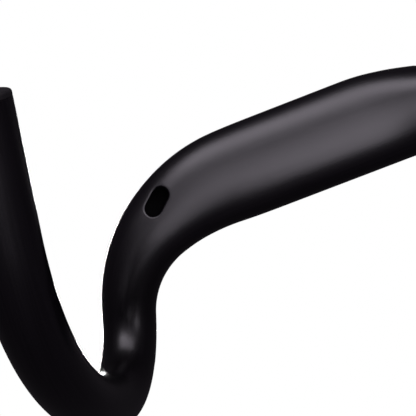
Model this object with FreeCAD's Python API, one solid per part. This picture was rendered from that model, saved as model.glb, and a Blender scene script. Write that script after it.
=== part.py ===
import FreeCAD, Part
import math
import os

# Aero drop handlebar: one hollow moulded bar and the two plugs that close its ends.
# Millimetres and degrees. The origin is the centre of the stem clamp zone,
# +X points to the rider's right, +Y forwards and +Z up.
# The right half is drawn along its centreline and mirrored in the plane x = 0.

Vector = FreeCAD.Vector

# Stem clamp zone and round tube
CLAMP_DIAMETER = 31.8
CLAMP_LENGTH = 60.0
TUBE_DIAMETER = 23.8
WALL = 2.2

# Centreline, from the clamp outwards
WIDTH = 420.0                 # between the tube centres where the hooks begin
SWEEP_ANGLE = 9.5             # forward sweep of the tops
SWEEP_RADIUS = 130.0
SWEEP_DELAY = 35.0            # from the clamp's end to where the swept line meets its axis
BEND_FIRST_RADIUS = 80.0
BEND_FIRST_ANGLE = 28.7
BEND_SECOND_RADIUS = 55.0
FLARE_ANGLE = 6.5             # the hooks point this far outwards
CANT_ANGLE = 7.5              # the hooks lean this far outwards, so the drops are wider
HOOK_UPPER_RADIUS = 35.0
HOOK_UPPER_ANGLE = 90.0
HOOK_LOWER_RADIUS = 100.0
HOOK_LOWER_ANGLE = 70.0
LEG_LENGTH = 50.0             # straight end of the drop, with its plug's cap

# Wing section of the tops
WING_CHORD = 43.5
WING_THICKNESS = 22.0
WING_TAPER = 0.14             # how much thicker the front half is than the rear half
WING_FULLNESS = 2.25          # 2 is an ellipse, more is squarer

# How the section eases from the clamp to the wing, measured from the clamp's end
FRONT_EASE_DELAY = 2.0
FRONT_EASE_LENGTH = 42.0
REAR_EASE_DELAY = 12.0
REAR_EASE_LENGTH = 54.0
THICKNESS_EASE_DELAY = 5.0
THICKNESS_EASE_LENGTH = 56.0

# How it eases from the wing to the round tube, measured from the start of the bend
NECK_EASE_LEAD = 19.0
NECK_EASE_LENGTH = 121.0
ROUND_RUN = 3.0               # round stretch of the moulded surface before the plain tube

# The moulded tops are lacquered, and the clamp zone and the drops are bare and this much lower
LACQUER_STEP = 0.1
JOINT_OVERLAP = 1.0           # how far the bare round ends run into the moulded tops

# Cable entry slot under each bend, placed along the bend and off its centreline
SLOT_LENGTH = 14.2
SLOT_WIDTH = 8.0
SLOT_PLACE = 32.3
SLOT_OFFSET = 6.7
SLOT_TURN = 19.5
SLOT_EDGE_ROUND = 0.8

# Cable exit port in the rear face beside the clamp
EXIT_LENGTH = 13.0
EXIT_HEIGHT = 7.0
EXIT_DELAY = 25.0             # from the clamp's end to the port's centre
EXIT_DROP = 3.5               # below the middle of the section
EXIT_EDGE_ROUND = 0.8

# Push-in end plug
CAP_THICKNESS = 2.4
CAP_EDGE_ROUND = 1.1
PLUG_CLEARANCE = 0.05         # all round, between the plug's ribs and the bore
PLUG_LENGTH = 18.0
PLUG_WALL = 1.6
PLUG_RIB_COUNT = 3
PLUG_RIB_WIDTH = 1.6
PLUG_RIB_HEIGHT = 0.8
PLUG_NOSE_CHAMFER = 0.8

# Fineness of the moulded surface
SECTION_POINTS = 48
SECTION_SPACING = 6.0
FUSE_TOLERANCE = 0.001


def radians(angle):
    """Degrees to radians."""
    return math.radians(angle)


def ease(t):
    """Smooth step from 0 to 1 with no slope and no curvature at either end."""
    t = min(max(t, 0.0), 1.0)
    return t ** 3 * (10.0 - 15.0 * t + 6.0 * t * t)


def mix(a, b, share):
    """Value that lies the given share of the way from a to b."""
    return a + (b - a) * share


class Run:
    """One straight or curved stretch of the centreline, in the plane of its tangent and its inner side."""

    def __init__(self, start, tangent, inner, length, radius=None):
        self.start = start
        self.tangent = tangent
        self.inner = inner
        self.length = length
        self.radius = radius

    def point(self, s):
        if self.radius is None:
            return self.start + self.tangent * s
        turn = s / self.radius
        return (self.start + self.tangent * (self.radius * math.sin(turn))
                + self.inner * (self.radius * (1.0 - math.cos(turn))))

    def direction(self, s):
        if self.radius is None:
            return self.tangent
        turn = s / self.radius
        return self.tangent * math.cos(turn) + self.inner * math.sin(turn)

    def inward(self, s):
        if self.radius is None:
            return self.inner
        turn = s / self.radius
        return self.inner * math.cos(turn) - self.tangent * math.sin(turn)

    def next(self, length, radius=None):
        """Stretch that carries on from this one's end in the same plane."""
        end = self.length
        return Run(self.point(end), self.direction(end), self.inward(end), length, radius)


# Centreline of the tops: clamp, sweep, straight top and the bend's two arcs, all level
CLAMP_RADIUS = CLAMP_DIAMETER / 2
TUBE_RADIUS = TUBE_DIAMETER / 2
ROOT_RADIUS = CLAMP_RADIUS + LACQUER_STEP
NECK_RADIUS = TUBE_RADIUS + LACQUER_STEP
CLAMP_END = CLAMP_LENGTH / 2
SWEEP_PLACE = CLAMP_END + SWEEP_DELAY
SWEEP_TANGENT = SWEEP_RADIUS * math.tan(radians(SWEEP_ANGLE / 2))
BEND_SECOND_ANGLE = 90.0 - SWEEP_ANGLE - FLARE_ANGLE - BEND_FIRST_ANGLE


def bend_reach_x():
    """Sideways reach of the two bend arcs, from the bend's start to its end."""
    first = radians(SWEEP_ANGLE)
    second = radians(SWEEP_ANGLE + BEND_FIRST_ANGLE)
    third = radians(SWEEP_ANGLE + BEND_FIRST_ANGLE + BEND_SECOND_ANGLE)
    return (BEND_FIRST_RADIUS * (math.sin(second) - math.sin(first))
            + BEND_SECOND_RADIUS * (math.sin(third) - math.sin(second)))


TOP_LENGTH = (WIDTH / 2 - bend_reach_x() - SWEEP_PLACE) / math.cos(radians(SWEEP_ANGLE)) - SWEEP_TANGENT

level = Run(Vector(0, 0, 0), Vector(1, 0, 0), Vector(0, 1, 0), SWEEP_PLACE - SWEEP_TANGENT)
sweep = level.next(SWEEP_RADIUS * radians(SWEEP_ANGLE), SWEEP_RADIUS)
top = sweep.next(TOP_LENGTH)
bend_first = top.next(BEND_FIRST_RADIUS * radians(BEND_FIRST_ANGLE), BEND_FIRST_RADIUS)
bend_second = bend_first.next(BEND_SECOND_RADIUS * radians(BEND_SECOND_ANGLE), BEND_SECOND_RADIUS)
BEND_START = level.length + sweep.length + top.length
BEND_LENGTH = bend_first.length + bend_second.length

# Centreline of the drop: two hook arcs and the straight leg, in a plane that leans outwards
HOOK_FORWARD = bend_second.direction(bend_second.length)
HOOK_INBOARD = bend_second.inward(bend_second.length)
HOOK_DOWN = Vector(0, 0, -1) * math.cos(radians(CANT_ANGLE)) - HOOK_INBOARD * math.sin(radians(CANT_ANGLE))
hook_upper = Run(bend_second.point(bend_second.length), HOOK_FORWARD, HOOK_DOWN,
                 HOOK_UPPER_RADIUS * radians(HOOK_UPPER_ANGLE), HOOK_UPPER_RADIUS)
hook_lower = hook_upper.next(HOOK_LOWER_RADIUS * radians(HOOK_LOWER_ANGLE), HOOK_LOWER_RADIUS)
leg = hook_lower.next(LEG_LENGTH - CAP_THICKNESS)

# The moulded surface ends on the upper hook, where the section has become round
MOULDED_START = CLAMP_END
NECK_EASE_START = BEND_START - NECK_EASE_LEAD
MOULDED_END = NECK_EASE_START + NECK_EASE_LENGTH + ROUND_RUN
HOOK_MOULDED = MOULDED_END - BEND_START - BEND_LENGTH


def frame_at(s):
    """Point on the centreline at distance s from the clamp's centre, and the section's front and up axes.

    On the tops the front axis is level. Along the bend the section rolls by the cant angle,
    to meet the hook's plane.
    """
    rest = s
    runs = (level, sweep, top, bend_first, bend_second, hook_upper)
    for run in runs:
        if rest <= run.length or run is runs[-1]:
            break
        rest -= run.length
    tangent = run.direction(rest)
    if run is hook_upper:
        front = tangent.cross(run.inward(rest))
    else:
        roll = radians(CANT_ANGLE) * ease((s - BEND_START) / BEND_LENGTH)
        front = run.inward(rest) * math.cos(roll) - Vector(0, 0, 1) * math.sin(roll)
    return run.point(rest), front, tangent.cross(front)


def section(s, inset):
    """Closed section curve at distance s: a front and a rear half super-ellipse that share their thickness.

    The front and rear half chords and the thickness ease from the clamp's circle to the wing,
    and all of them ease from the wing to the tube's circle. The inset makes the inner wall.
    """
    out = s - CLAMP_END
    neck = ease((s - NECK_EASE_START) / NECK_EASE_LENGTH)
    front_share = ease((out - FRONT_EASE_DELAY) / FRONT_EASE_LENGTH)
    rear_share = ease((out - REAR_EASE_DELAY) / REAR_EASE_LENGTH)
    thick_share = ease((out - THICKNESS_EASE_DELAY) / THICKNESS_EASE_LENGTH)
    front_half = mix(mix(ROOT_RADIUS, WING_CHORD / 2, front_share), NECK_RADIUS, neck) - inset
    rear_half = mix(mix(ROOT_RADIUS, WING_CHORD / 2, rear_share), NECK_RADIUS, neck) - inset
    thick_half = mix(mix(ROOT_RADIUS, WING_THICKNESS / 2, thick_share), NECK_RADIUS, neck) - inset
    wing = thick_share * (1.0 - neck)
    power = 2.0 / mix(2.0, WING_FULLNESS, wing)
    centre, front, up = frame_at(s)
    points = []
    for k in range(SECTION_POINTS):
        angle = 2.0 * math.pi * k / SECTION_POINTS
        along = math.copysign(abs(math.cos(angle)) ** power, math.cos(angle))
        across = math.copysign(abs(math.sin(angle)) ** power, math.sin(angle))
        half = front_half if along > 0 else rear_half
        height = thick_half * across * (1.0 + WING_TAPER * wing * along)
        points.append(centre + front * (half * along) + up * height)
    curve = Part.BSplineCurve()
    curve.interpolate(Points=points, PeriodicFlag=True, Parameters=list(range(SECTION_POINTS + 1)))
    return curve


def moulded(inset):
    """Solid from the clamp's end to the round start of the hook, smooth along and across its sections.

    Each pole of the section curves is itself carried along a curve, which gives a cubic grid of poles.
    It is divided at the front and the rear into an upper and a lower face, and closed by flat ends.
    """
    count = max(int(math.ceil((MOULDED_END - MOULDED_START) / SECTION_SPACING)), 8)
    stations = [mix(MOULDED_START, MOULDED_END, k / count) for k in range(count + 1)]
    sections = [section(s, inset) for s in stations]
    around = sections[0]
    poles = []
    for track in zip(*[curve.getPoles() for curve in sections]):
        along = Part.BSplineCurve()
        along.interpolate(Points=list(track), Parameters=stations)
        poles.append(along.getPoles())
    surface = Part.BSplineSurface()
    surface.buildFromPolesMultsKnots(poles, around.getMultiplicities(), along.getMultiplicities(),
                                     around.getKnots(), along.getKnots(), True, False,
                                     around.Degree, along.Degree)
    halves = ((0, SECTION_POINTS // 2), (SECTION_POINTS // 2, SECTION_POINTS))
    faces = [surface.toShape(first, last, MOULDED_START, MOULDED_END) for first, last in halves]
    for curve in (sections[0], sections[-1]):
        faces.append(Part.Face(Part.Wire([curve.toShape(first, last) for first, last in halves])))
    shell = Part.makeShell(faces)
    shell.sewShape()
    return Part.Solid(shell.Shells[0])


def disc(centre, front, tangent, radius):
    """Round face square to the centreline. Its edge starts at the front, as the section curves do."""
    edge = Part.makeCircle(radius)
    edge.Placement = FreeCAD.Placement(centre, FreeCAD.Rotation(front, tangent.cross(front), tangent))
    return Part.Face(Part.Wire(edge))


def clamp_zone(radius):
    """Round solid of the stem clamp zone, with the stretches that run into the tops."""
    reach = Vector(CLAMP_END + JOINT_OVERLAP, 0, 0)
    return disc(-reach, Vector(0, 1, 0), Vector(1, 0, 0), radius).extrude(reach * 2)


def tube_arc(run, start, radius):
    """Round solid along an arc, from the given distance along it to its end."""
    centre = run.start + run.inner * run.radius
    axis = run.tangent.cross(run.inner)
    face = disc(run.point(start), axis, run.direction(start), radius)
    return face.revolve(centre, axis, math.degrees((run.length - start) / run.radius))


def drop(radius, extra):
    """Round solids of the plain tube: the rest of the upper hook, the lower hook and the leg."""
    face = disc(leg.start, leg.tangent.cross(leg.inner), leg.tangent, radius)
    straight = face.extrude(leg.tangent * (leg.length + extra))
    upper = tube_arc(hook_upper, HOOK_MOULDED - JOINT_OVERLAP, radius)
    return [upper, tube_arc(hook_lower, 0.0, radius), straight]


def stadium(centre, along, out, length, width, depth):
    """Prism with round ends and a long axis, from the centre outwards by the depth along its third axis."""
    side = out.cross(along)
    reach = along * ((length - width) / 2)
    half = side * (width / 2)
    tip = along * (length / 2)
    edges = [
        Part.makeLine(centre - reach + half, centre + reach + half),
        Part.Arc(centre + reach + half, centre + tip, centre + reach - half).toShape(),
        Part.makeLine(centre + reach - half, centre - reach - half),
        Part.Arc(centre - reach - half, centre - tip, centre - reach + half).toShape(),
    ]
    return Part.Face(Part.Wire(edges)).extrude(out * depth)


def entry_slot():
    """Cutter of the cable slot: upright, under the bend, turned towards the hook."""
    centre, front, up = frame_at(BEND_START + SLOT_PLACE)
    tangent = front.cross(up)
    down = Vector(0, 0, -1)
    level_front = (front - down * front.dot(down)).normalize()
    level_tangent = (tangent - down * tangent.dot(down)).normalize()
    turn = radians(SLOT_TURN)
    along = level_tangent * math.cos(turn) + level_front * math.sin(turn)
    return stadium(centre - front * SLOT_OFFSET, along, down, SLOT_LENGTH, SLOT_WIDTH, CLAMP_DIAMETER)


def exit_port():
    """Cutter of the cable port: level, through the rear wall beside the clamp."""
    centre = Vector(CLAMP_END + EXIT_DELAY, 0, -EXIT_DROP)
    return stadium(centre, Vector(1, 0, 0), Vector(0, -1, 0), EXIT_LENGTH, EXIT_HEIGHT, WING_CHORD)


def mirrored(shape):
    """The same shape on the other side of the plane x = 0."""
    return shape.mirror(Vector(0, 0, 0), Vector(1, 0, 0))


def outer_rim(solid, cutter, out):
    """Edges of a port's outer rim: of the edges within its cutter, the long ones in the outer half."""
    box = cutter.BoundBox
    box.enlarge(FUSE_TOLERANCE)
    edges = [edge for edge in solid.Edges if box.isInside(edge.BoundBox)]
    reach = [edge.CenterOfMass.dot(out) for edge in edges]
    middle = (min(reach) + max(reach)) / 2
    return [edge for edge, far in zip(edges, reach) if far > middle and edge.Length > WALL]


def cut_port(solid, cutter, out, radius):
    """Solid with one port cut through its wall and the port's outer rim rounded."""
    cut = solid.cut(cutter)
    return cut.makeFillet(radius, outer_rim(cut, cutter, out))


def filled_bar(inset, extra):
    """Solid of the whole bar, inset from its outer surface and longer at both ends by the extra."""
    side = [moulded(inset)] + drop(TUBE_RADIUS - inset, extra)
    return clamp_zone(CLAMP_RADIUS - inset).fuse(side + [mirrored(shape) for shape in side], FUSE_TOLERANCE)


def make_bar():
    """Hollow bar: outer solid, less its inner space, less the cable ports."""
    bar = filled_bar(0.0, 0.0).cut(filled_bar(WALL, WALL))
    for cutter, out, radius in ((entry_slot(), Vector(0, 0, -1), SLOT_EDGE_ROUND),
                                (exit_port(), Vector(0, -1, 0), EXIT_EDGE_ROUND)):
        for one in (cutter, mirrored(cutter)):
            bar = cut_port(bar, one, out, radius)
    return bar


def make_plug():
    """End plug, turned about the leg's axis: rounded cap flush with the tube, hollow ribbed barrel."""
    origin = Vector(0, 0, 0)
    inwards = Vector(0, 0, -1)
    rib_radius = TUBE_RADIUS - WALL - PLUG_CLEARANCE
    barrel_radius = rib_radius - PLUG_RIB_HEIGHT
    cap = Part.makeCylinder(TUBE_RADIUS, CAP_THICKNESS)
    rim = [edge for edge in cap.Edges if edge.BoundBox.ZMin > CAP_THICKNESS / 2]
    cap = cap.makeFillet(CAP_EDGE_ROUND, rim)
    barrel = Part.makeCylinder(barrel_radius, PLUG_LENGTH, origin, inwards)
    nose = [edge for edge in barrel.Edges if edge.BoundBox.ZMax < -PLUG_LENGTH / 2]
    barrel = barrel.makeChamfer(PLUG_NOSE_CHAMFER, nose)
    pitch = PLUG_LENGTH / (PLUG_RIB_COUNT + 1)
    ribs = [Part.makeCone(rib_radius, barrel_radius, PLUG_RIB_WIDTH, inwards * (pitch * (k + 1)), inwards)
            for k in range(PLUG_RIB_COUNT)]
    well = Part.makeCylinder(barrel_radius - PLUG_WALL, PLUG_LENGTH, origin, inwards)
    plug = cap.fuse([barrel] + ribs).cut(well)
    turned = FreeCAD.Rotation(Vector(0, 0, 1), leg.tangent)
    plug.Placement = FreeCAD.Placement(leg.point(leg.length), turned)
    return plug


def main():
    os.makedirs("parts", exist_ok=True)
    plug = make_plug()
    parts = {"handlebar": make_bar(), "end_plug_right": plug, "end_plug_left": mirrored(plug)}
    for name, shape in parts.items():
        shape.exportStep(os.path.join("parts", name + ".step"))
        print(name, "solids", len(shape.Solids), "valid", shape.isValid(), "volume", round(shape.Volume, 1))


main()
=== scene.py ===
"""Looks of an aero drop handlebar: the moulded shell, its end plugs and the studio they are shown in."""

import math

import bpy
import numpy as np
from bpy.props import FloatProperty, FloatVectorProperty, PointerProperty
from mathutils import Matrix


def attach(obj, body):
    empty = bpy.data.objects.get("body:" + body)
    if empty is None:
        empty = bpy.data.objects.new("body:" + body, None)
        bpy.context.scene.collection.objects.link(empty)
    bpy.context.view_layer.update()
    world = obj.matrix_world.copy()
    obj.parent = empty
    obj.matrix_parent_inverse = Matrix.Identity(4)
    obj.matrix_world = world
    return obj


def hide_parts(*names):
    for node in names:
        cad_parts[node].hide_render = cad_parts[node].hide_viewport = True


bl_info = {
    "name": "Aero drop handlebar",
    "version": (1, 0, 0),
    "blender": (4, 5, 0),
    "location": "3D View > Sidebar > Handlebar",
    "description": "Builds the visible surfaces, finishes and studio of an aero drop handlebar",
    "category": "Object",
}

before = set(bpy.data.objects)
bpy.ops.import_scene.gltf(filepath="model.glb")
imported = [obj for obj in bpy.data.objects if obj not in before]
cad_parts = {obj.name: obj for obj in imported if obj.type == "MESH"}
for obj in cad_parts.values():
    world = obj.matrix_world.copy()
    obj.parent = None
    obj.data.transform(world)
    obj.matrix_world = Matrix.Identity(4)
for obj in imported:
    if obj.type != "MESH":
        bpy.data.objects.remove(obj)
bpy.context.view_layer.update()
PHOTO_PIXELS = 416
SENSOR_MM = 36.0
MM = 0.001

# Search for the rims of the ports: rounds of Newton's method, points round a rim, margin and first angles
NEWTON_ROUNDS = 14
RIM_SAMPLES = 72
RIM_MARGIN = 2.6
SLOT_TURN_GUESS = math.radians(250)
EXIT_TURN_GUESS = math.radians(193)

# Relief of the finishes and half the blurred edge of the grip band, in metres
GRAIN_DEPTH = 0.000022
WEAVE_DEPTH = 0.00004
PIT_DEPTH = 0.000014
GRIP_EDGE = 0.0006

# Studio, in metres: the spot that the softboxes face, the floor and the strengths and tints of the light
LIT_SPOT = (-0.13, 0.02, 0.0)
FLOOR_HEIGHT = -1.6
FLOOR_HALF = 40.0
FLOOR_GLOW = 0.78
AMBIENT = 0.035
WHITE = (1.0, 1.0, 1.0)
SOFTBOX_TINT = (0.96, 0.89, 1.0)
GLOW_TINT = (1.0, 0.88, 1.05)


# Properties

def length(name, millimetres, description):
    """A length that a user may change, stored in metres."""
    return FloatProperty(name=name, description=description, default=millimetres * MM, min=0.0,
                         precision=5, unit="LENGTH", subtype="DISTANCE")


def angle(name, degrees, description):
    """An angle that a user may change, stored in radians."""
    return FloatProperty(name=name, description=description, default=math.radians(degrees), subtype="ANGLE")


def share(name, value, description, high=1.0):
    """A plain number that a user may change."""
    return FloatProperty(name=name, description=description, default=value, min=0.0, max=high, precision=4)


def colour(name, value, description):
    """A colour that a user may change."""
    return FloatVectorProperty(name=name, description=description, default=value, size=3, min=0.0, max=1.0,
                               subtype="COLOR")


class BarSizes(bpy.types.PropertyGroup):
    """Driving sizes of the bar, the same as those of its solid model."""

    clamp_diameter: length("Clamp diameter", 31.8, "Round zone that the stem holds")
    clamp_length: length("Clamp length", 60.0, "Length of the round zone")
    tube_diameter: length("Tube diameter", 23.8, "Round tube of the hooks and legs")
    wall: length("Wall", 2.2, "Thickness of the moulded wall")
    lacquer_step: length("Lacquer step", 0.1, "How far the lacquer stands proud of clamp and drops")
    lacquer_fade: length("Lacquer fade", 5.0, "Length over which the lacquer thins out at its edges")
    width: length("Width", 420.0, "Between the tube centres where the hooks begin")
    sweep_angle: angle("Sweep", 9.5, "Forward sweep of the tops")
    sweep_radius: length("Sweep radius", 130.0, "Radius of the curve into the sweep")
    sweep_delay: length("Sweep delay", 35.0, "From the clamp's end to where the swept line meets its axis")
    bend_first_radius: length("First bend radius", 80.0, "Radius where the tops begin to bend")
    bend_first_angle: angle("First bend angle", 28.7, "Turn of the first bend")
    bend_second_radius: length("Second bend radius", 55.0, "Radius of the tighter bend that follows")
    flare_angle: angle("Flare", 6.5, "How far the hooks point outwards")
    cant_angle: angle("Cant", 7.5, "How far the hooks lean outwards")
    hook_upper_radius: length("Upper hook radius", 35.0, "Radius of the hook's front")
    hook_upper_angle: angle("Upper hook angle", 90.0, "Turn of the hook's front")
    hook_lower_radius: length("Lower hook radius", 100.0, "Radius of the hook's slower lower arc")
    hook_lower_angle: angle("Lower hook angle", 70.0, "Turn of the hook's lower arc")
    leg_length: length("Leg length", 50.0, "Straight end of the drop, with its plug's cap")


class WingSizes(bpy.types.PropertyGroup):
    """Section of the flattened tops, and how it eases into the round ends."""

    chord: length("Chord", 43.5, "Front to rear")
    thickness: length("Thickness", 22.0, "Bottom to top")
    taper: share("Taper", 0.14, "How much thicker the front half is than the rear half")
    fullness: share("Fullness", 2.25, "2 is an ellipse, more is squarer", 6.0)
    front_ease_delay: length("Front ease delay", 2.0, "From the clamp's end to the start of the front edge")
    front_ease_length: length("Front ease length", 42.0, "Length over which the front edge eases out")
    rear_ease_delay: length("Rear ease delay", 12.0, "From the clamp's end to the start of the rear edge")
    rear_ease_length: length("Rear ease length", 54.0, "Length over which the rear edge eases out")
    thickness_ease_delay: length("Thickness ease delay", 5.0, "From the clamp's end to where it thins")
    thickness_ease_length: length("Thickness ease length", 56.0, "Length over which it thins")
    neck_ease_lead: length("Neck ease lead", 19.0, "How far before the bend the wing starts to close")
    neck_ease_length: length("Neck ease length", 121.0, "Length over which the wing becomes the round tube")
    round_run: length("Round run", 3.0, "Lacquered round tube after the ease")


class PortSizes(bpy.types.PropertyGroup):
    """Cable slot under each bend and cable port in the rear face beside the clamp."""

    slot_length: length("Slot length", 14.2, "Along the slot")
    slot_width: length("Slot width", 8.0, "Across the slot")
    slot_place: length("Slot place", 32.3, "Along the bend from its start")
    slot_offset: length("Slot offset", 6.7, "To the rear of the bend's centreline")
    slot_turn: angle("Slot turn", 19.5, "Turned towards the hook")
    exit_length: length("Port length", 13.0, "Along the bar")
    exit_height: length("Port height", 7.0, "Across the bar")
    exit_delay: length("Port delay", 25.0, "From the clamp's end to the port's centre")
    exit_drop: length("Port drop", 3.5, "Below the middle of the section")
    edge_round: length("Edge round", 0.8, "Radius of the rounded rims")


class PlugSizes(bpy.types.PropertyGroup):
    """Push-in plug that closes each end of the bar."""

    cap_thickness: length("Cap thickness", 2.4, "Cap outside the tube")
    cap_round: length("Cap round", 1.1, "Radius of the cap's rim")
    clearance: length("Clearance", 0.05, "Between the ribs and the bore")
    barrel_length: length("Barrel length", 18.0, "Barrel inside the tube")
    barrel_wall: length("Barrel wall", 1.6, "Thickness of the barrel's wall")
    rib_width: length("Rib width", 1.6, "Along the barrel")
    rib_height: length("Rib height", 0.8, "Above the barrel")
    nose_chamfer: length("Nose chamfer", 0.8, "At the inner end of the barrel")
    seam_bevel: length("Seam bevel", 0.2, "Broken edges on both sides of the joint between cap and tube")


class FinishColours(bpy.types.PropertyGroup):
    """Colours of the finishes."""

    resin: colour("Resin", (0.0016, 0.0011, 0.0020), "Satin lacquer over the carbon")
    fibre: colour("Fibre", (0.0030, 0.0023, 0.0035), "Fibre tows that just show through the lacquer")
    laminate: colour("Laminate", (0.0013, 0.0010, 0.0016), "Bare laminate inside the bar")
    plug: colour("Plug", (0.0060, 0.0054, 0.0064), "Moulded plastic of the end plugs")
    floor: colour("Floor", (0.30, 0.30, 0.30), "Studio floor, without its glow")


# Shape of the bar

def smoother(t):
    """t^3 (10 - 15 t + 6 t^2), held at 0 and 1, so it has no slope and no curvature at its ends."""
    t = np.clip(t, 0.0, 1.0)
    return t ** 3 * (10.0 - 15.0 * t + 6.0 * t * t)


def mix(a, b, part):
    """a + (b - a) part."""
    return a + (b - a) * part


def signed_power(x, power):
    """|x| to the power, with the sign of x."""
    return np.sign(x) * np.abs(x) ** power


class Stretch:
    """One straight or curved stretch of the centreline, in the plane of its tangent and its inner side."""

    def __init__(self, start, tangent, inner, reach, radius=None):
        self.start = np.asarray(start, float)
        self.tangent = np.asarray(tangent, float)
        self.inner = np.asarray(inner, float)
        self.length = reach
        self.radius = radius

    def frame(self, s):
        """Point, tangent and inner side at distances s.

        The point is start + R (T sin a + N (1 - cos a)), with a = s / R.
        """
        s = np.asarray(s, float)[..., None]
        if self.radius is None:
            same = np.ones_like(s)
            return self.start + self.tangent * s, self.tangent * same, self.inner * same
        turn = s / self.radius
        point = self.start + self.radius * (self.tangent * np.sin(turn) + self.inner * (1.0 - np.cos(turn)))
        tangent = self.tangent * np.cos(turn) + self.inner * np.sin(turn)
        inner = self.inner * np.cos(turn) - self.tangent * np.sin(turn)
        return point, tangent, inner

    def following(self, reach, radius=None):
        """Stretch that carries on from this one's end in the same plane."""
        point, tangent, inner = self.frame(self.length)
        return Stretch(point, tangent, inner, reach, radius)


class BarShape:
    """Surface of the bar as a function of the distance s along its centreline and the angle round it.

    s is 0 at the clamp's centre, positive to the right and negative to the left. The angle is 0 at the
    front, a quarter turn at the top, half a turn at the rear and three quarters underneath.
    """

    def __init__(self, bar, wing, plug):
        self.wing = wing
        self.step = bar.lacquer_step
        self.fade = bar.lacquer_fade
        self.root_radius = bar.clamp_diameter / 2 + self.step
        self.neck_radius = bar.tube_diameter / 2 + self.step
        self.clamp_end = bar.clamp_length / 2
        self.cant = bar.cant_angle
        place = self.clamp_end + bar.sweep_delay
        first = bar.sweep_angle
        second = first + bar.bend_first_angle
        third = math.pi / 2 - bar.flare_angle
        reach = (bar.bend_first_radius * (math.sin(second) - math.sin(first))
                 + bar.bend_second_radius * (math.sin(third) - math.sin(second)))
        trim = bar.sweep_radius * math.tan(first / 2)
        straight = (bar.width / 2 - reach - place) / math.cos(first) - trim

        level = Stretch((0, 0, 0), (1, 0, 0), (0, 1, 0), place - trim)
        sweep = level.following(bar.sweep_radius * first, bar.sweep_radius)
        top = sweep.following(straight)
        bend_first = top.following(bar.bend_first_radius * bar.bend_first_angle, bar.bend_first_radius)
        bend_second = bend_first.following(bar.bend_second_radius * (third - second),
                                           bar.bend_second_radius)
        point, forward, inboard = bend_second.frame(bend_second.length)
        down = np.array((0, 0, -1.0)) * math.cos(self.cant) - inboard * math.sin(self.cant)
        hook_upper = Stretch(point, forward, down, bar.hook_upper_radius * bar.hook_upper_angle,
                             bar.hook_upper_radius)
        hook_lower = hook_upper.following(bar.hook_lower_radius * bar.hook_lower_angle,
                                          bar.hook_lower_radius)
        leg = hook_lower.following(bar.leg_length - plug.cap_thickness)

        self.tops = (level, sweep, top, bend_first, bend_second)
        self.runs = self.tops + (hook_upper, hook_lower, leg)
        self.begins = np.concatenate(((0.0,), np.cumsum([run.length for run in self.runs])))
        self.bend_start = self.begins[3]
        self.bend_length = bend_first.length + bend_second.length
        self.neck_start = self.bend_start - wing.neck_ease_lead
        self.lacquer_end = self.neck_start + wing.neck_ease_length + wing.round_run
        self.end = self.begins[-1]

    def frame(self, s):
        """Point, front axis and up axis at distances s. The section rolls by the cant angle in the bend."""
        point = np.empty(s.shape + (3,))
        front = np.empty_like(point)
        up = np.empty_like(point)
        which = np.clip(np.searchsorted(self.begins, s, side="right") - 1, 0, len(self.runs) - 1)
        for k, run in enumerate(self.runs):
            here = which == k
            spot, tangent, inner = run.frame(s[here] - self.begins[k])
            if run in self.tops:
                roll = (self.cant * smoother((s[here] - self.bend_start) / self.bend_length))[..., None]
                across = inner * np.cos(roll) - np.array((0, 0, 1.0)) * np.sin(roll)
            else:
                across = np.cross(tangent, inner)
            point[here] = spot
            front[here] = across
            up[here] = np.cross(tangent, across)
        return point, front, up

    def skin(self, s, turn, inset=0.0):
        """Points of the skin: centre + front h c + up t v (1 + k c).

        c and v are the cosine and sine of the angle raised to 2 / fullness, h is the half chord of the
        front or the rear, t the half thickness and k the taper. All of them ease from the clamp's circle
        to the wing and from the wing to the tube's circle. The inset makes the inner wall, and the bare
        clamp and drops lie lower by the lacquer step.
        """
        wing = self.wing
        s, turn, inset = np.broadcast_arrays(np.asarray(s, float), turn, inset)
        reach = np.abs(s)
        out = reach - self.clamp_end
        begins = smoother(out / self.fade + 0.5)
        ends = smoother((reach - self.lacquer_end) / self.fade + 0.5)
        inset = inset + self.step * (1.0 - begins + ends)
        neck = smoother((reach - self.neck_start) / wing.neck_ease_length)
        fore = smoother((out - wing.front_ease_delay) / wing.front_ease_length)
        rear = smoother((out - wing.rear_ease_delay) / wing.rear_ease_length)
        thin = smoother((out - wing.thickness_ease_delay) / wing.thickness_ease_length)
        fore_half = mix(mix(self.root_radius, wing.chord / 2, fore), self.neck_radius, neck) - inset
        rear_half = mix(mix(self.root_radius, wing.chord / 2, rear), self.neck_radius, neck) - inset
        thick_half = mix(mix(self.root_radius, wing.thickness / 2, thin), self.neck_radius, neck) - inset
        flat = thin * (1.0 - neck)
        power = 2.0 / mix(2.0, wing.fullness, flat)
        along = signed_power(np.cos(turn), power)
        across = signed_power(np.sin(turn), power)
        half = np.where(along > 0, fore_half, rear_half)
        height = thick_half * across * (1.0 + wing.taper * flat * along)
        centre, front, up = self.frame(reach)
        points = centre + front * (half * along)[..., None] + up * height[..., None]
        points[..., 0] *= np.where(s < 0, -1.0, 1.0)
        return points


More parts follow.
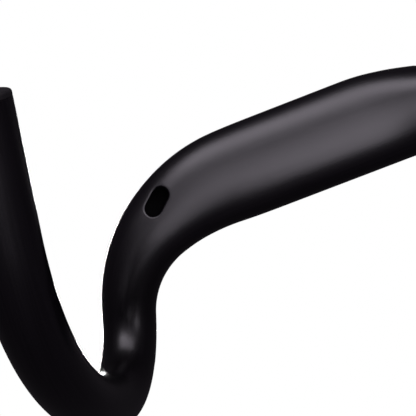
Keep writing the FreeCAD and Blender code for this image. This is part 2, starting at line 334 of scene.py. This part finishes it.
class Port:
    """Hole with a straight axis and a stadium outline, met by the skin at about (s, turn)."""

    def __init__(self, centre, along, out, port_length, port_width, s, turn):
        self.centre = np.asarray(centre, float)
        self.along = np.asarray(along, float)
        self.out = np.asarray(out, float)
        self.across = np.cross(self.out, self.along)
        self.straight = (port_length - port_width) / 2
        self.radius = port_width / 2
        self.s = s
        self.turn = turn

    def mirrored(self):
        """The same port on the other side of the plane x = 0."""
        flip = np.array((-1.0, 1.0, 1.0))
        return Port(self.centre * flip, self.along * flip, self.out * flip,
                    2 * (self.straight + self.radius), 2 * self.radius, -self.s, self.turn)

    def flat(self, points):
        """Coordinates along and across the port of points in space."""
        gap = points - self.centre
        return np.stack((gap @ self.along, gap @ self.across), -1)

    def outline(self, bearing, grow):
        """Where rays from the middle at these bearings meet the stadium, grown outwards by an amount.

        A ray meets a straight side at r / |sin|, or an end circle at h |cos| + sqrt(r^2 - h^2 sin^2).
        """
        radius = self.radius + grow
        cos, sin = np.abs(np.cos(bearing)), np.abs(np.sin(bearing))
        side = radius / np.maximum(sin, 1e-9)
        cap = self.straight * cos + np.sqrt(np.maximum(radius ** 2 - (self.straight * sin) ** 2, 0.0))
        far = np.where(side * cos <= self.straight, side, cap)
        return np.stack((far * np.cos(bearing), far * np.sin(bearing)), -1)

    def locate(self, shape, flat, inset):
        """(s, turn) of the skin under the port coordinates, by Newton's method from the port's middle."""
        s = np.full(flat.shape[:-1], float(self.s))
        turn = np.full(flat.shape[:-1], float(self.turn))
        step_s, step_turn = 1e-6, 1e-5
        for _ in range(NEWTON_ROUNDS):
            here = self.flat(shape.skin(s, turn, inset))
            by_s = (self.flat(shape.skin(s + step_s, turn, inset)) - here) / step_s
            by_turn = (self.flat(shape.skin(s, turn + step_turn, inset)) - here) / step_turn
            gap = flat - here
            area = by_s[..., 0] * by_turn[..., 1] - by_s[..., 1] * by_turn[..., 0]
            s = s + (gap[..., 0] * by_turn[..., 1] - gap[..., 1] * by_turn[..., 0]) / area
            turn = turn + (by_s[..., 0] * gap[..., 1] - by_s[..., 1] * gap[..., 0]) / area
        return s, turn


def cable_ports(shape, sizes):
    """The slot under each bend and the port in the rear face beside the clamp, right and left."""
    s = shape.bend_start + sizes.slot_place
    point, front, up = (row[0] for row in shape.frame(np.array((s,))))
    tangent = np.cross(front, up)
    level = np.array((1.0, 1.0, 0.0))
    ahead = tangent * level / np.linalg.norm(tangent * level)
    aside = front * level / np.linalg.norm(front * level)
    along = ahead * math.cos(sizes.slot_turn) + aside * math.sin(sizes.slot_turn)
    slot = Port(point - front * sizes.slot_offset, along, (0, 0, -1), sizes.slot_length, sizes.slot_width,
                s, SLOT_TURN_GUESS)
    x = shape.clamp_end + sizes.exit_delay
    side_port = Port((x, 0, -sizes.exit_drop), (1, 0, 0), (0, -1, 0), sizes.exit_length, sizes.exit_height,
                     x, EXIT_TURN_GUESS)
    return slot, slot.mirrored(), side_port, side_port.mirrored()


class Shell:
    """Closed shell of quads: points with their (s, turn), rings joined by faces, and the inner faces."""

    def __init__(self):
        self.points, self.places, self.quads, self.inside, self.count = [], [], [], [], 0

    def add(self, points, s, turn):
        """Adds points and gives their numbers, in the same grid."""
        numbers = self.count + np.arange(points[..., 0].size).reshape(points.shape[:-1])
        self.points.append(points.reshape(-1, 3))
        s, turn = np.broadcast_arrays(s, turn)
        self.places.append(np.stack((s, turn), -1).reshape(-1, 2))
        self.count += numbers.size
        return numbers

    def face(self, quads, inside):
        self.quads.append(quads)
        self.inside.append(np.full(len(quads), inside, np.int32))

    def join(self, a, b, inside=False):
        """One band of quads between two rings of equally many points: (a, a next, b next, b)."""
        band = np.stack((a, np.roll(a, -1), np.roll(b, -1), b), -1)
        self.face(band.reshape(-1, 4), inside)

    def grid(self, numbers, keep, inside=False):
        """Quads of a grid that is closed round its sections, without those that keep leaves out."""
        after = np.roll(numbers, -1, 1)
        quads = np.stack((numbers[:-1], after[:-1], after[1:], numbers[1:]), -1)
        quads = quads[..., ::-1] if inside else quads
        self.face(quads[keep], inside)

    def arrays(self):
        return [np.concatenate(block) for block in (self.points, self.places, self.quads, self.inside)]


def window_ring(numbers, rows, columns):
    """Point numbers round a rectangle of the grid, in the order in which its faces turn."""
    (top, bottom), (left, right) = rows, columns
    return np.concatenate((numbers[top, left:right], numbers[top:bottom, right],
                           numbers[bottom, right:left:-1], numbers[bottom:top:-1, left]))


def bar_shell(shape, sizes, wall, seam_bevel, spacing=0.0024, columns=104):
    """Shell of the bar: an outer and an inner skin, joined at the ends and through the ports.

    The skins are grids in s and turn. At each port a rectangle of both grids is left open, and rings lead
    from it to the rim, over a quarter round into the hole, down the wall and out to the inner rectangle.
    """
    count = int(math.ceil(2 * shape.end / spacing))
    even = np.linspace(-shape.end + seam_bevel, shape.end - seam_bevel, count)
    s = np.concatenate(((-shape.end,), even, (shape.end,)))[:, None]
    turn = (2 * math.pi / columns * np.arange(columns))[None, :]
    bevel = np.where(np.abs(s) > shape.end - seam_bevel / 2, seam_bevel, 0.0)
    shell = Shell()
    outer = shell.add(shape.skin(s, turn, bevel), s, turn)
    inner = shell.add(shape.skin(s, turn, wall), s, turn)
    outer_points, inner_points = (block.reshape(outer.shape + (3,)) for block in shell.points)
    keep = np.ones((len(s) - 1, columns), bool)

    for port in cable_ports(shape, sizes):
        all_round = np.linspace(0, 2 * math.pi, RIM_SAMPLES, endpoint=False)
        rim_s, rim_turn = port.locate(shape, port.outline(all_round, RIM_MARGIN * sizes.edge_round), 0.0)
        rows = (np.searchsorted(s[:, 0], rim_s.min()) - 1, np.searchsorted(s[:, 0], rim_s.max()))
        cols = (int(rim_turn.min() / turn[0, 1]), int(math.ceil(rim_turn.max() / turn[0, 1])))
        keep[rows[0]:rows[1], cols[0]:cols[1]] = False
        window = window_ring(outer, rows, cols)
        frame_flat = port.flat(outer_points.reshape(-1, 3)[window - outer.flat[0]])
        bearing = np.arctan2(frame_flat[:, 1], frame_flat[:, 0])
        last = window
        # On the skin, from the rectangle to the rim
        for part in (0.3, 0.6, 0.82, 1.0):
            flat = mix(frame_flat, port.outline(bearing, sizes.edge_round), part)
            ring_s, ring_turn = port.locate(shape, flat, 0.0)
            ring = shell.add(shape.skin(ring_s, ring_turn), ring_s, ring_turn)
            shell.join(last, ring)
            last = ring
        # Over the quarter round of the rim
        for tilt in np.radians((18, 36, 54, 72, 90)):
            flat = port.outline(bearing, sizes.edge_round * (1.0 - math.sin(tilt)))
            ring_s, ring_turn = port.locate(shape, flat, 0.0)
            depth = sizes.edge_round * (1.0 - math.cos(tilt))
            ring = shell.add(shape.skin(ring_s, ring_turn) - port.out * depth, ring_s, ring_turn)
            shell.join(last, ring)
            last = ring
        # Down the wall, and out over the inner skin to its rectangle
        window = window_ring(inner, rows, cols)
        window_flat = port.flat(inner_points.reshape(-1, 3)[window - inner.flat[0]])
        for part in (0.0, 0.5):
            flat = mix(port.outline(bearing, 0.0), window_flat, part)
            ring_s, ring_turn = port.locate(shape, flat, wall)
            ring = shell.add(shape.skin(ring_s, ring_turn, wall), ring_s, ring_turn)
            shell.join(last, ring, inside=True)
            last = ring
        shell.join(last, window, inside=True)

    shell.grid(outer, keep)
    shell.grid(inner, keep, inside=True)
    shell.join(outer[-1], inner[-1])
    shell.join(outer[0][::-1], inner[0][::-1])
    return shell.arrays()


def arc(centre, radius, start, end, steps):
    """Points of a circle's arc in a plane, from one angle to another, in degrees."""
    turn = np.radians(np.linspace(start, end, steps))
    return np.stack((centre[0] + radius * np.cos(turn), centre[1] + radius * np.sin(turn)), -1)


def plug_profile(bar, plug, ribs=3):
    """Half section of the end plug as (radius, height) pairs, from its cap's middle to the well's floor.

    Height is 0 at the tube's end and grows outwards. The cap's rim is a quarter circle and its lower edge
    has a small bevel. The barrel carries saw-tooth ribs and is bored out from its inner end.
    """
    rim = bar.tube_diameter / 2
    crest = rim - bar.wall - plug.clearance
    barrel = crest - plug.rib_height
    well = barrel - plug.barrel_wall
    deep = -plug.barrel_length
    pitch = plug.barrel_length / (ribs + 1)
    spokes = np.linspace(0.0, rim - plug.cap_round, 12)[:-1]
    face = np.stack((spokes, np.full_like(spokes, plug.cap_thickness)), -1)
    edge = arc((rim - plug.cap_round, plug.cap_thickness - plug.cap_round), plug.cap_round, 90, 0, 9)
    seam = [(rim, plug.seam_bevel), (rim - plug.seam_bevel, 0.0), (barrel, 0.0)]
    teeth = []
    for k in range(1, ribs + 1):
        teeth += [(barrel, -pitch * k), (crest, -pitch * k), (barrel, -pitch * k - plug.rib_width)]
    nose = [(barrel, deep + plug.nose_chamfer), (barrel - plug.nose_chamfer, deep), (well, deep),
            (well, 0.0), (0.0, 0.0)]
    return np.concatenate((face, edge, seam, teeth, nose))


def turned(profile, centre, axis, columns=96):
    """Surface of revolution: centre + r (e cos a + f sin a) + h axis, with its faces pointing outwards.

    The two ends of the profile lie on the axis, and each is closed there by a fan of triangles.
    """
    axis = np.asarray(axis, float)
    first = np.cross(axis, (0.0, 0.0, 1.0))
    first /= np.linalg.norm(first)
    second = np.cross(axis, first)
    turn = 2 * math.pi / columns * np.arange(columns)
    spokes = first * np.cos(turn)[:, None] + second * np.sin(turn)[:, None]
    radius, height = profile[1:-1, 0, None, None], profile[1:-1, 1, None, None]
    rings = centre + radius * spokes + height * axis
    ends = centre + profile[[0, -1], 1, None] * axis
    numbers = np.arange(rings[..., 0].size).reshape(rings.shape[:-1])
    after = np.roll(numbers, -1, 1)
    quads = np.stack((numbers[:-1], numbers[1:], after[1:], after[:-1]), -1).reshape(-1, 4)
    head, foot = numbers.size, numbers.size + 1
    fan_head = np.stack((np.full(columns, head), numbers[0], after[0]), -1)
    fan_foot = np.stack((np.full(columns, foot), after[-1], numbers[-1]), -1)
    points = np.concatenate((rings.reshape(-1, 3), ends))
    return points, quads.tolist() + fan_head.tolist() + fan_foot.tolist()


# Meshes

def show(mesh, materials, sharp):
    """Links a mesh as an object with its materials, shaded smooth but for edges sharper than the angle."""
    mesh.update(calc_edges=True)
    mesh.validate()
    mesh.shade_smooth()
    mesh.set_sharp_from_angle(angle=math.radians(sharp))
    for material in materials:
        mesh.materials.append(material)
    piece = bpy.data.objects.new(mesh.name, mesh)
    bpy.context.scene.collection.objects.link(piece)
    return piece


def lay_map(mesh, places, quads, girth=0.1):
    """UV map in metres that follows the fibres: u along the bar, v round it, unbroken within every face."""
    s = places[quads, 0]
    turn = places[quads, 1]
    wraps = np.ptp(turn, axis=1, keepdims=True) > math.pi
    turn = np.where(wraps & (turn < math.pi), turn + 2 * math.pi, turn)
    uv = np.stack((s, turn / (2 * math.pi) * girth), -1)
    mesh.uv_layers.new(name="lay").data.foreach_set("uv", uv.astype(np.float32).ravel())


# Materials

class Wire:
    """A shader socket that takes part in Python arithmetic: each operation adds one Math node."""

    def __init__(self, paint, socket):
        self.paint = paint
        self.socket = socket

    def _math(self, operation, *values):
        return self.paint.node("ShaderNodeMath", {"operation": operation}, dict(enumerate(values))).wire(0)

    def __add__(self, other):
        return self._math("ADD", self, other)

    def __radd__(self, other):
        return self._math("ADD", other, self)

    def __sub__(self, other):
        return self._math("SUBTRACT", self, other)

    def __rsub__(self, other):
        return self._math("SUBTRACT", other, self)

    def __mul__(self, other):
        return self._math("MULTIPLY", self, other)

    def __rmul__(self, other):
        return self._math("MULTIPLY", other, self)

    def __abs__(self):
        return self._math("ABSOLUTE", self)


class Knot:
    """A shader node whose outputs are taken by name or number."""

    def __init__(self, paint, node):
        self.paint = paint
        self.node = node

    def wire(self, output):
        return Wire(self.paint, self.node.outputs[output])


class Paint:
    """A material, world or light tree that is written node by node."""

    def __init__(self, tree):
        self.tree = tree
        self.tree.nodes.clear()

    def node(self, kind, settings=None, inputs=None):
        """Adds a node: its settings come first, then the values or wires of its sockets."""
        node = self.tree.nodes.new(kind)
        for name, value in (settings or {}).items():
            setattr(node, name, value)
        for name, value in (inputs or {}).items():
            if isinstance(value, Wire):
                self.tree.links.new(value.socket, node.inputs[name])
            else:
                node.inputs[name].default_value = value
        return Knot(self, node)

    def noise(self, place, scale, detail, roughness=0.5):
        """Fractal noise in 0 to 1, as a wire."""
        return self.node("ShaderNodeTexNoise", None, {"Vector": place, "Scale": scale, "Detail": detail,
                                                      "Roughness": roughness}).wire("Fac")

    def stretched(self, place, scale):
        """Coordinates multiplied by a different factor on each axis."""
        return self.node("ShaderNodeMapping", None, {"Vector": place, "Scale": scale}).wire("Vector")

    def ramp(self, value, low, high):
        """Smooth step of a value from 0 at low to 1 at high."""
        return self.node("ShaderNodeMapRange", {"interpolation_type": "SMOOTHSTEP"},
                         {"Value": value, "From Min": low, "From Max": high}).wire("Result")

    def blend(self, factor, a, b):
        """Colour between a and b."""
        return self.node("ShaderNodeMix", {"data_type": "RGBA"}, {"Factor": factor, 6: a, 7: b}).wire(2)

    def bump(self, height, depth):
        """Normal tilted by a height field of the given depth in metres."""
        inputs = {"Height": height, "Distance": depth, "Strength": 1.0}
        return self.node("ShaderNodeBump", None, inputs).wire("Normal")

    def surface(self, **inputs):
        """Principled shader to the material's output."""
        named = {name.replace("_", " "): value for name, value in inputs.items()}
        shader = self.node("ShaderNodeBsdfPrincipled", None, named).wire("BSDF")
        self.node("ShaderNodeOutputMaterial", None, {"Surface": shader})


def new_paint(name):
    material = bpy.data.materials.new(name)
    material.use_nodes = True
    return material, Paint(material.node_tree)


def rgba(value):
    return (*value, 1.0)


def satin_carbon(colours, clamp_end):
    """Satin lacquer over fibre tows along the bar, with a fine grain and a matt grip band at the clamp."""
    material, paint = new_paint("satin_carbon")
    coordinates = paint.node("ShaderNodeTexCoord")
    spot = coordinates.wire("Object")
    lay = coordinates.wire("UV")
    tows = paint.noise(paint.stretched(lay, (22.0, 900.0, 1.0)), 1.0, 3.0, 0.55)
    strands = paint.noise(paint.stretched(lay, (60.0, 5200.0, 1.0)), 1.0, 1.0)
    grain = paint.noise(spot, 2600.0, 2.0, 0.6)
    cloud = paint.noise(spot, 26.0, 2.0)
    x = paint.node("ShaderNodeSeparateXYZ", None, {0: spot}).wire("X")
    grip = 1.0 - paint.ramp(abs(x), clamp_end - GRIP_EDGE, clamp_end + GRIP_EDGE)
    shows = paint.ramp(tows * 0.7 + strands * 0.3, 0.38, 0.66)
    tint = paint.blend(shows, rgba(colours.resin), rgba(colours.fibre))
    roughness = 0.32 + (grain - 0.5) * 0.10 + (cloud - 0.5) * 0.06 + (tows - 0.5) * 0.05 + grip * 0.14
    relief = grain * (1.0 + grip * 1.6) + strands * 0.35
    paint.surface(Base_Color=tint, Roughness=roughness, Normal=paint.bump(relief, GRAIN_DEPTH), IOR=1.5)
    return material


def raw_laminate(colours):
    """Bare laminate inside the bar and on the cut walls of its ports: matt, with hardly any sheen."""
    material, paint = new_paint("raw_laminate")
    spot = paint.node("ShaderNodeTexCoord").wire("Object")
    weave = paint.noise(spot, 900.0, 2.0)
    roughness = 0.80 + (weave - 0.5) * 0.3
    paint.surface(Base_Color=rgba(colours.laminate), Roughness=roughness, Specular_IOR_Level=0.12,
                  Normal=paint.bump(weave, WEAVE_DEPTH))
    return material


def moulded_plastic(colours):
    """Moulded plastic with the fine pitted texture of a spark-eroded mould."""
    material, paint = new_paint("moulded_plastic")
    spot = paint.node("ShaderNodeTexCoord").wire("Object")
    pits = paint.noise(spot, 3800.0, 1.0)
    cloud = paint.noise(spot, 140.0, 2.0)
    base = rgba(colours.plug)
    worn = rgba([channel * 1.5 for channel in colours.plug])
    tint = paint.blend(paint.ramp(cloud, 0.35, 0.75), base, worn)
    roughness = 0.46 + (pits - 0.5) * 0.14 + (cloud - 0.5) * 0.08
    paint.surface(Base_Color=tint, Roughness=roughness, Normal=paint.bump(pits, PIT_DEPTH), IOR=1.49)
    return material


def pale_floor(colours):
    """Plain pale studio floor with a glow of its own, so it is pale without lighting the object."""
    material, paint = new_paint("pale_floor")
    paint.surface(Base_Color=rgba(colours.floor), Roughness=0.9, Emission_Color=rgba(WHITE),
                  Emission_Strength=FLOOR_GLOW)
    return material


def black_felt():
    """Dead black of the flags that shade the bend and the neck."""
    material, paint = new_paint("black_felt")
    paint.surface(Base_Color=rgba((0.0, 0.0, 0.0)), Roughness=1.0, Specular_IOR_Level=0.0)
    return material


# Studio

def aim(origin, view, up):
    """Matrix of a camera or light at a point, looking along view with its top towards up."""
    view = np.asarray(view, float) / np.linalg.norm(view)
    right = np.cross(view, up)
    right /= np.linalg.norm(right)
    top = np.cross(right, view)
    matrix = np.eye(4)
    matrix[:3, 0], matrix[:3, 1], matrix[:3, 2], matrix[:3, 3] = right, top, -view, origin
    return Matrix(matrix.tolist())


def soft_light(name, place, target, width, height, power, up=(1.0, 0.0, 0.0), tint=SOFTBOX_TINT):
    """Rectangular softbox at a place, facing a target."""
    data = bpy.data.lights.new(name, "AREA")
    data.shape = "RECTANGLE"
    data.size = width
    data.size_y = height
    data.energy = power
    data.color = tint
    light = bpy.data.objects.new(name, data)
    light.matrix_world = aim(place, np.subtract(target, place), up)
    light.visible_camera = False
    bpy.context.scene.collection.objects.link(light)


def stage_card(name, centre, along, across, material):
    """Flat rectangle of the studio: its centre and its two half sides."""
    centre, along, across = (np.asarray(value, float) for value in (centre, along, across))
    corners = [centre - along - across, centre + along - across, centre + along + across,
               centre - along + across]
    mesh = bpy.data.meshes.new(name)
    mesh.from_pydata(corners, [], [(0, 1, 2, 3)])
    card = show(mesh, (material,), 30)
    return card


def photo_camera():
    """Camera of the photograph: it looks almost straight up at the underside of the left half.

    The view leans by (lean_x, lean_y) from the upward axis. Its top points backwards, rolled about the
    view. It stands at its distance from the spot (x, y, 0) that it looks at.
    """
    lean_x, lean_y, roll = -0.0816, -0.0817, math.radians(11.1065)
    spot = np.array((-0.1653413, 0.0272471, 0.0))
    distance, focal_pixels = 0.4585118, 1006.8358
    view = np.array((lean_x, lean_y, 1.0))
    view /= np.linalg.norm(view)
    back = np.array((0.0, -1.0, 0.0))
    back -= view * (back @ view)
    back /= np.linalg.norm(back)
    up = back * math.cos(roll) + np.cross(view, back) * math.sin(roll)
    data = bpy.data.cameras.new("photo_camera")
    data.sensor_width = SENSOR_MM
    data.lens = focal_pixels / PHOTO_PIXELS * SENSOR_MM
    data.clip_start = 0.01
    camera = bpy.data.objects.new("photo_camera", data)
    camera.matrix_world = aim(spot - view * distance, view, up)
    bpy.context.scene.collection.objects.link(camera)
    bpy.context.scene.camera = camera


def white_backdrop(ambient):
    """World that the camera sees as plain white and that lights the object with a dim even glow."""
    world = bpy.data.worlds.new("white_backdrop")
    world.use_nodes = True
    bpy.context.scene.world = world
    paint = Paint(world.node_tree)
    seen = paint.node("ShaderNodeLightPath").wire("Is Camera Ray")
    glow = paint.node("ShaderNodeBackground", None, {"Color": rgba(GLOW_TINT), "Strength": ambient}).wire(0)
    white = paint.node("ShaderNodeBackground", None, {"Color": rgba(WHITE), "Strength": 1.0}).wire(0)
    both = paint.node("ShaderNodeMixShader", None, {0: seen, 1: glow, 2: white}).wire(0)
    paint.node("ShaderNodeOutputWorld", None, {"Surface": both})


# Operators

class HANDLEBAR_OT_shell(bpy.types.Operator):
    """Make the hollow moulded bar with its cable ports."""

    bl_idname = "handlebar.shell"
    bl_label = "Moulded bar"

    def execute(self, context):
        scene = context.scene
        bar = scene.handlebar_bar
        shape = BarShape(bar, scene.handlebar_wing, scene.handlebar_plug)
        points, places, quads, inside = bar_shell(shape, scene.handlebar_ports, bar.wall,
                                                  scene.handlebar_plug.seam_bevel)
        mesh = bpy.data.meshes.new("moulded_bar")
        mesh.from_pydata(points, [], quads.tolist())
        mesh.polygons.foreach_set("material_index", inside)
        lay_map(mesh, places, quads)
        colours = scene.handlebar_colours
        piece = show(mesh, (satin_carbon(colours, shape.clamp_end), raw_laminate(colours)), 42)
        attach(piece, "root")
        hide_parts("handlebar")
        return {"FINISHED"}


class HANDLEBAR_OT_plugs(bpy.types.Operator):
    """Make the push-in plugs that close both ends."""

    bl_idname = "handlebar.plugs"
    bl_label = "End plugs"

    def execute(self, context):
        scene = context.scene
        bar, plug = scene.handlebar_bar, scene.handlebar_plug
        leg = BarShape(bar, scene.handlebar_wing, plug).runs[-1]
        end, axis, _ = leg.frame(leg.length)
        material = moulded_plastic(scene.handlebar_colours)
        for side, flip in (("right", 1.0), ("left", -1.0)):
            mirror = np.array((flip, 1.0, 1.0))
            points, faces = turned(plug_profile(bar, plug), end * mirror, axis * mirror)
            mesh = bpy.data.meshes.new("plug_" + side)
            mesh.from_pydata(points, [], faces)
            piece = show(mesh, (material,), 30)
            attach(piece, "root")
            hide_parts("end_plug_" + side)
        return {"FINISHED"}


class HANDLEBAR_OT_stage(bpy.types.Operator):
    """Set up the floor, the softboxes, the backdrop and the camera."""

    bl_idname = "handlebar.stage"
    bl_label = "Studio"

    def execute(self, context):
        floor = stage_card("floor", (0.0, 0.0, FLOOR_HEIGHT), (FLOOR_HALF, 0.0, 0.0),
                           (0.0, FLOOR_HALF, 0.0), pale_floor(context.scene.handlebar_colours))
        floor.visible_diffuse = False
        floor.visible_glossy = False
        felt = black_felt()
        bend_flag = stage_card("bend_flag", (-0.194, 0.0535, -0.082), (-0.0112, 0.0100, 0.0),
                               (0.026, 0.030, 0.0), felt)
        neck_flag = stage_card("neck_flag", (-0.205, 0.0610, -0.040), (-0.0300, 0.0050, 0.0),
                               (0.0, 0.009, 0.0), felt)
        bend_flag.visible_camera = False
        neck_flag.visible_camera = False
        soft_light("rear_softbox", (-0.10, -0.73, -0.66), LIT_SPOT, 1.14, 0.42, 7.2,
                   up=(-0.03, 0.66, -0.75))
        soft_light("under_softbox", (0.19, -0.09, -0.94), LIT_SPOT, 0.87, 0.68, 6.5, up=(0.48, 0.87, 0.06))
        soft_light("side_softbox", (-0.34, -0.24, -0.94), LIT_SPOT, 0.40, 0.52, 0.8, up=(0.0, 1.0, 0.0))
        soft_light("top_softbox", (-0.9, -0.2, 3.0), (0.0, 0.0, 0.0), 0.8, 0.8, 130.0, tint=WHITE)
        white_backdrop(AMBIENT)
        photo_camera()
        context.scene.view_settings.view_transform = "Standard"
        return {"FINISHED"}


class HANDLEBAR_PT_panel(bpy.types.Panel):
    """Lists the steps that build the handlebar."""

    bl_idname = "HANDLEBAR_PT_panel"
    bl_label = "Aero drop handlebar"
    bl_space_type = "VIEW_3D"
    bl_region_type = "UI"
    bl_category = "Handlebar"

    def draw(self, context):
        for step in STEPS:
            self.layout.operator(step.bl_idname)


STEPS = (HANDLEBAR_OT_shell, HANDLEBAR_OT_plugs, HANDLEBAR_OT_stage)
GROUPS = {
    "handlebar_bar": BarSizes,
    "handlebar_wing": WingSizes,
    "handlebar_ports": PortSizes,
    "handlebar_plug": PlugSizes,
    "handlebar_colours": FinishColours,
}


def register():
    for name, group in GROUPS.items():
        bpy.utils.register_class(group)
        setattr(bpy.types.Scene, name, PointerProperty(type=group))
    for step in STEPS:
        bpy.utils.register_class(step)
    bpy.utils.register_class(HANDLEBAR_PT_panel)


def unregister():
    bpy.utils.unregister_class(HANDLEBAR_PT_panel)
    for step in reversed(STEPS):
        bpy.utils.unregister_class(step)
    for name, group in reversed(GROUPS.items()):
        delattr(bpy.types.Scene, name)
        bpy.utils.unregister_class(group)


def main():
    register()
    bpy.ops.handlebar.shell()
    bpy.ops.handlebar.plugs()
    bpy.ops.handlebar.stage()


if __name__ == "__main__":
    main()
